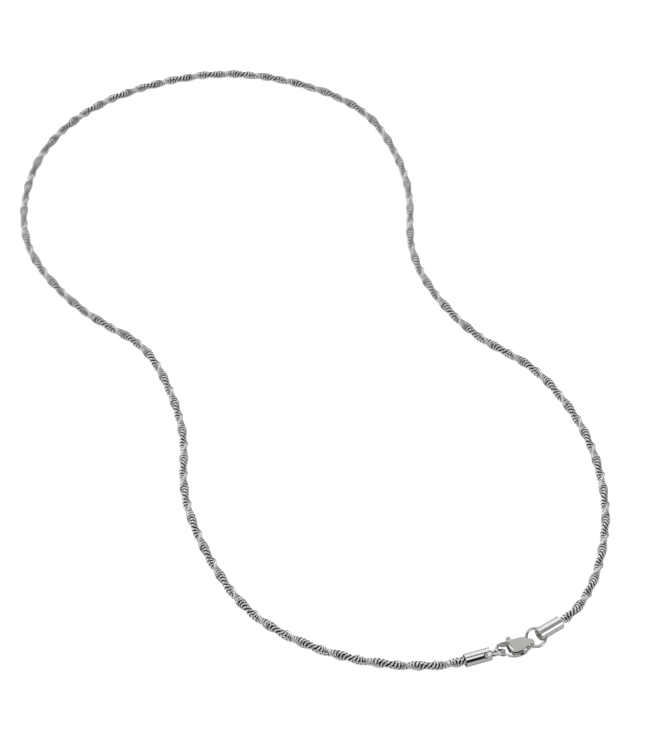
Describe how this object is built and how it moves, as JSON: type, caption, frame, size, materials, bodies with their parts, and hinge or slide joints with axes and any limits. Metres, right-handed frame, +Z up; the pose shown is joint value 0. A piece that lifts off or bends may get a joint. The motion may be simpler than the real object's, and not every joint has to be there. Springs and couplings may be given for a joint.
{
  "type": "chain necklace",
  "caption": "Twisted rope chain necklace with tube end caps, jump rings and a lobster-claw clasp with a sprung trigger lever.",
  "frame": {"origin": "centre of the clasp body's flat back, on the surface the necklace lies on", "axes": "+Z up from that surface, +Y from the clasp across the open loop, +X to the side of the clasp's tail end"},
  "size_m": [0.1674, 0.2195, 0.0049],
  "materials": {
    "rope_steel": "bright polished wire links, roughness about 0.14",
    "polished_steel": "mirror-polished tube, rings and lever, roughness about 0.08, fine handling scratches",
    "brushed_steel": "clasp body with a lengthwise brushed flat face and polished edges",
    "spring_steel": "drawn spring leaf"
  },
  "bodies": {
    "clasp": {"clasp_body": "brushed_steel", "lever_pin": "polished_steel", "lever_spring": "spring_steel"},
    "clasp_lever": {"clasp_lever": "polished_steel"},
    "tail_ring": {"tail_ring": "polished_steel"},
    "hook_ring": {"hook_ring": "polished_steel"},
    "right_cap": {"right_end_cap": "polished_steel", "right_rope_end": "rope_steel"},
    "left_cap": {"left_end_cap": "polished_steel", "left_rope_end": "rope_steel"},
    "rope_01": {"rope_01": "rope_steel"},
    "rope_02": {"rope_02": "rope_steel"},
    "rope_03": {"rope_03": "rope_steel"},
    "rope_04": {"rope_04": "rope_steel"},
    "rope_05": {"rope_05": "rope_steel"},
    "rope_06": {"rope_06": "rope_steel"},
    "rope_07": {"rope_07": "rope_steel"},
    "rope_08": {"rope_08": "rope_steel"},
    "rope_09": {"rope_09": "rope_steel"},
    "rope_10": {"rope_10": "rope_steel"},
    "rope_11": {"rope_11": "rope_steel"},
    "rope_12": {"rope_12": "rope_steel"},
    "rope_13": {"rope_13": "rope_steel"},
    "rope_14": {"rope_14": "rope_steel"},
    "rope_15": {"rope_15": "rope_steel"},
    "rope_16": {"rope_16": "rope_steel"},
    "rope_17": {"rope_17": "rope_steel"},
    "rope_18": {"rope_18": "rope_steel"},
    "rope_19": {"rope_19": "rope_steel"},
    "rope_20": {"rope_20": "rope_steel"},
    "rope_21": {"rope_21": "rope_steel"},
    "rope_22": {"rope_22": "rope_steel"},
    "rope_23": {"rope_23": "rope_steel"},
    "rope_24": {"rope_24": "rope_steel"},
    "rope_25": {"rope_25": "rope_steel"},
    "rope_26": {"rope_26": "rope_steel"},
    "rope_27": {"rope_27": "rope_steel"},
    "rope_28": {"rope_28": "rope_steel"},
    "rope_29": {"rope_29": "rope_steel"},
    "rope_30": {"rope_30": "rope_steel"},
    "rope_31": {"rope_31": "rope_steel"},
    "rope_32": {"rope_32": "rope_steel"},
    "rope_33": {"rope_33": "rope_steel"},
    "rope_34": {"rope_34": "rope_steel"},
    "rope_35": {"rope_35": "rope_steel"},
    "rope_36": {"rope_36": "rope_steel"},
    "rope_37": {"rope_37": "rope_steel"},
    "rope_38": {"rope_38": "rope_steel"},
    "rope_39": {"rope_39": "rope_steel"},
    "rope_40": {"rope_40": "rope_steel"},
    "rope_41": {"rope_41": "rope_steel"}
  },
  "joints": [
    {"name": "clasp_swing", "type": "hinge", "parent": "right_cap", "child": "tail_ring", "pos_m": [0.00574, 0.00392, 0.00175], "axis": [-0.9118, -0.4107, 0], "range_deg": [-8, 8]},
    {"name": "clasp_swing_left", "type": "hinge", "parent": "left_cap", "child": "hook_ring", "pos_m": [-0.0096, -0.00299, 0.00175], "axis": [-0.9118, -0.4107, 0], "range_deg": [-8, 8]},
    {"name": "clasp_roll", "type": "hinge", "parent": "tail_ring", "child": "clasp", "pos_m": [0.00213, 0.00056, 0.00125], "axis": [0.9588, 0.2767, -0.0639], "range_deg": [0, 14]},
    {"name": "clasp_trigger", "type": "hinge", "parent": "clasp", "child": "clasp_lever", "pos_m": [-0.00089, -0.00054, 0.00125], "axis": [0, 0, -1], "range_deg": [0, 18], "deforming": ["lever_spring"]},
    {"name": "fold_1", "type": "hinge", "parent": "rope_01", "child": "right_cap", "pos_m": [0.01036, 0.00696, 0.00175], "axis": [-0.9079, -0.4191, 0.0001], "range_deg": [0, 20]},
    {"name": "fold_1_left", "type": "hinge", "parent": "rope_41", "child": "left_cap", "pos_m": [-0.01486, -0.00468, 0.00175], "axis": [-0.9079, -0.4191, 0.0001], "range_deg": [0, 20]},
    {"name": "fold_2", "type": "hinge", "parent": "rope_02", "child": "rope_01", "pos_m": [0.01838, 0.01682, 0.00132], "axis": [-0.9027, -0.4303, 0.003], "range_deg": [0, 20]},
    {"name": "fold_2_left", "type": "hinge", "parent": "rope_40", "child": "rope_41", "pos_m": [-0.02924, -0.00588, 0.00148], "axis": [-0.9027, -0.4303, 0.003], "range_deg": [0, 20]},
    {"name": "fold_3", "type": "hinge", "parent": "rope_03", "child": "rope_02", "pos_m": [0.02279, 0.02903, 0.00133], "axis": [-0.9986, 0.0535, 0.0003], "range_deg": [0, 20]},
    {"name": "fold_3_left", "type": "hinge", "parent": "rope_35", "child": "rope_36", "pos_m": [-0.08393, 0.03476, 0.00136], "axis": [-0.9986, 0.0535, 0.0003], "range_deg": [0, 20]},
    {"name": "fold_4", "type": "hinge", "parent": "rope_14", "child": "rope_13", "pos_m": [-0.02587, 0.16649, 0.00136], "axis": [-0.9971, 0.0763, 0], "range_deg": [0, 15]},
    {"name": "fold_4_left", "type": "hinge", "parent": "rope_24", "child": "rope_25", "pos_m": [-0.13673, 0.17497, 0.00136], "axis": [-0.9971, 0.0763, 0], "range_deg": [0, 15]},
    {"name": "fold_5", "type": "hinge", "parent": "rope_15", "child": "rope_14", "pos_m": [-0.02978, 0.17938, 0.00136], "axis": [-0.9973, 0.0738, 0], "range_deg": [0, 15]},
    {"name": "fold_5_left", "type": "hinge", "parent": "rope_23", "child": "rope_24", "pos_m": [-0.13042, 0.18683, 0.00136], "axis": [-0.9973, 0.0738, 0], "range_deg": [0, 15]},
    {"name": "fold_6", "type": "hinge", "parent": "rope_16", "child": "rope_15", "pos_m": [-0.03587, 0.19136, 0.00136], "axis": [-0.9981, 0.0616, 0], "range_deg": [0, 15]},
    {"name": "fold_6_left", "type": "hinge", "parent": "rope_22", "child": "rope_23", "pos_m": [-0.12122, 0.19663, 0.00136], "axis": [-0.9981, 0.0616, 0], "range_deg": [0, 15]},
    {"name": "fold_7", "type": "hinge", "parent": "rope_17", "child": "rope_16", "pos_m": [-0.04568, 0.20047, 0.00136], "axis": [-0.9987, 0.0513, 0], "range_deg": [0, 15]},
    {"name": "fold_7_left", "type": "hinge", "parent": "rope_21", "child": "rope_22", "pos_m": [-0.10983, 0.20377, 0.00136], "axis": [-0.9987, 0.0513, 0], "range_deg": [0, 15]},
    {"name": "fold_8", "type": "hinge", "parent": "rope_18", "child": "rope_17", "pos_m": [-0.0577, 0.20652, 0.00136], "axis": [-0.9987, 0.0519, 0], "range_deg": [0, 15]},
    {"name": "fold_8_left", "type": "hinge", "parent": "rope_20", "child": "rope_21", "pos_m": [-0.09726, 0.20858, 0.00136], "axis": [-0.9987, 0.0519, 0], "range_deg": [0, 15]},
    {"name": "fold_9", "type": "hinge", "parent": "rope_19", "child": "rope_18", "pos_m": [-0.07063, 0.21025, 0.00136], "axis": [-0.9981, 0.0618, 0], "range_deg": [0, 15]},
    {"name": "fold_9_left", "type": "hinge", "parent": "rope_19", "child": "rope_20", "pos_m": [-0.08404, 0.21108, 0.00136], "axis": [-0.9981, 0.0618, 0], "range_deg": [0, 15]},
    {"name": "sway_1", "type": "hinge", "parent": "rope_05", "child": "rope_04", "pos_m": [0.02424, 0.05533, 0.00136], "axis": [0, 0, 1], "range_deg": [-20, 20]},
    {"name": "sway_1_near", "type": "hinge", "parent": "rope_04", "child": "rope_03", "pos_m": [0.02477, 0.04185, 0.00136], "axis": [0, 0, 1], "range_deg": [-20, 20]},
    {"name": "sway_1_left", "type": "hinge", "parent": "rope_33", "child": "rope_34", "pos_m": [-0.08884, 0.06517, 0.00136], "axis": [0, 0, 1], "range_deg": [-20, 20]},
    {"name": "sway_1_left_near", "type": "hinge", "parent": "rope_34", "child": "rope_35", "pos_m": [-0.08828, 0.0517, 0.00136], "axis": [0, 0, 1], "range_deg": [-20, 20]},
    {"name": "sway_2", "type": "hinge", "parent": "rope_07", "child": "rope_06", "pos_m": [0.01524, 0.08163, 0.00136], "axis": [0, 0, 1], "range_deg": [-20, 20]},
    {"name": "sway_2_near", "type": "hinge", "parent": "rope_06", "child": "rope_05", "pos_m": [0.02093, 0.06941, 0.00136], "axis": [0, 0, 1], "range_deg": [-20, 20]},
    {"name": "sway_2_left", "type": "hinge", "parent": "rope_31", "child": "rope_32", "pos_m": [-0.099, 0.09507, 0.00136], "axis": [0, 0, 1], "range_deg": [-20, 20]},
    {"name": "sway_2_left_near", "type": "hinge", "parent": "rope_32", "child": "rope_33", "pos_m": [-0.09331, 0.08285, 0.00136], "axis": [0, 0, 1], "range_deg": [-20, 20]},
    {"name": "sway_3", "type": "hinge", "parent": "rope_09", "child": "rope_08", "pos_m": [-0.00427, 0.10127, 0.00136], "axis": [0, 0, 1], "range_deg": [-20, 20]},
    {"name": "sway_3_near", "type": "hinge", "parent": "rope_08", "child": "rope_07", "pos_m": [0.00647, 0.09311, 0.00136], "axis": [0, 0, 1], "range_deg": [-20, 20]},
    {"name": "sway_3_left", "type": "hinge", "parent": "rope_29", "child": "rope_30", "pos_m": [-0.11292, 0.10752, 0.00136], "axis": [0, 0, 1], "range_deg": [-20, 20]},
    {"name": "sway_3_left_near", "type": "hinge", "parent": "rope_30", "child": "rope_31", "pos_m": [-0.10218, 0.09936, 0.00136], "axis": [0, 0, 1], "range_deg": [-20, 20]},
    {"name": "sway_4", "type": "hinge", "parent": "rope_11", "child": "rope_10", "pos_m": [-0.02056, 0.12377, 0.00136], "axis": [0, 0, 1], "range_deg": [-20, 20]},
    {"name": "sway_4_near", "type": "hinge", "parent": "rope_10", "child": "rope_09", "pos_m": [-0.01385, 0.11207, 0.00136], "axis": [0, 0, 1], "range_deg": [-20, 20]},
    {"name": "sway_4_left", "type": "hinge", "parent": "rope_27", "child": "rope_28", "pos_m": [-0.13681, 0.13641, 0.00136], "axis": [0, 0, 1], "range_deg": [-20, 20]},
    {"name": "sway_4_left_near", "type": "hinge", "parent": "rope_28", "child": "rope_29", "pos_m": [-0.1301, 0.12471, 0.00136], "axis": [0, 0, 1], "range_deg": [-20, 20]},
    {"name": "sway_5", "type": "hinge", "parent": "rope_13", "child": "rope_12", "pos_m": [-0.02463, 0.15311, 0.00136], "axis": [0, 0, 1], "range_deg": [-20, 20]},
    {"name": "sway_5_near", "type": "hinge", "parent": "rope_12", "child": "rope_11", "pos_m": [-0.02473, 0.13962, 0.00136], "axis": [0, 0, 1], "range_deg": [-20, 20]},
    {"name": "sway_5_left", "type": "hinge", "parent": "rope_25", "child": "rope_26", "pos_m": [-0.13964, 0.16184, 0.00136], "axis": [0, 0, 1], "range_deg": [-20, 20]},
    {"name": "sway_5_left_near", "type": "hinge", "parent": "rope_26", "child": "rope_27", "pos_m": [-0.13974, 0.14834, 0.00136], "axis": [0, 0, 1], "range_deg": [-20, 20]},
    {"name": "arch", "type": "hinge", "parent": "rope_36", "child": "rope_37", "pos_m": [-0.07765, 0.0217, 0.00136], "axis": [-0.8035, 0.5952, 0.0008], "range_deg": [0, 25]},
    {"name": "arch_near", "type": "hinge", "parent": "rope_39", "child": "rope_40", "pos_m": [-0.04351, -0.00358, 0.00133], "axis": [-0.8035, 0.5952, 0.0008], "range_deg": [-25, 0]},
    {"name": "twist", "type": "hinge", "parent": "rope_37", "child": "rope_38", "pos_m": [-0.06902, 0.00997, 0.00136], "axis": [0.8183, -0.5749, -0.0015], "range_deg": [-20, 20]},
    {"name": "twist_near", "type": "hinge", "parent": "rope_38", "child": "rope_39", "pos_m": [-0.05713, 0.00162, 0.00134], "axis": [0.8183, -0.5749, -0.0015], "range_deg": [-20, 20]}
  ],
  "couplings": [
    {"joint": "clasp_swing_left", "follows": "clasp_swing", "ratio": 1},
    {"joint": "fold_1_left", "follows": "fold_1", "ratio": 1},
    {"joint": "fold_2_left", "follows": "fold_2", "ratio": 1},
    {"joint": "fold_3_left", "follows": "fold_3", "ratio": 1},
    {"joint": "fold_4_left", "follows": "fold_4", "ratio": 1},
    {"joint": "fold_5_left", "follows": "fold_5", "ratio": 1},
    {"joint": "fold_6_left", "follows": "fold_6", "ratio": 1},
    {"joint": "fold_7_left", "follows": "fold_7", "ratio": 1},
    {"joint": "fold_8_left", "follows": "fold_8", "ratio": 1},
    {"joint": "fold_9_left", "follows": "fold_9", "ratio": 1},
    {"joint": "sway_1_near", "follows": "sway_1", "ratio": -1},
    {"joint": "sway_1_left", "follows": "sway_1", "ratio": 1},
    {"joint": "sway_1_left_near", "follows": "sway_1", "ratio": -1},
    {"joint": "sway_2_near", "follows": "sway_2", "ratio": -1},
    {"joint": "sway_2_left", "follows": "sway_2", "ratio": 1},
    {"joint": "sway_2_left_near", "follows": "sway_2", "ratio": -1},
    {"joint": "sway_3_near", "follows": "sway_3", "ratio": -1},
    {"joint": "sway_3_left", "follows": "sway_3", "ratio": 1},
    {"joint": "sway_3_left_near", "follows": "sway_3", "ratio": -1},
    {"joint": "sway_4_near", "follows": "sway_4", "ratio": -1},
    {"joint": "sway_4_left", "follows": "sway_4", "ratio": 1},
    {"joint": "sway_4_left_near", "follows": "sway_4", "ratio": -1},
    {"joint": "sway_5_near", "follows": "sway_5", "ratio": -1},
    {"joint": "sway_5_left", "follows": "sway_5", "ratio": 1},
    {"joint": "sway_5_left_near", "follows": "sway_5", "ratio": -1},
    {"joint": "arch_near", "follows": "arch", "ratio": -1},
    {"joint": "twist_near", "follows": "twist", "ratio": -1}
  ]
}
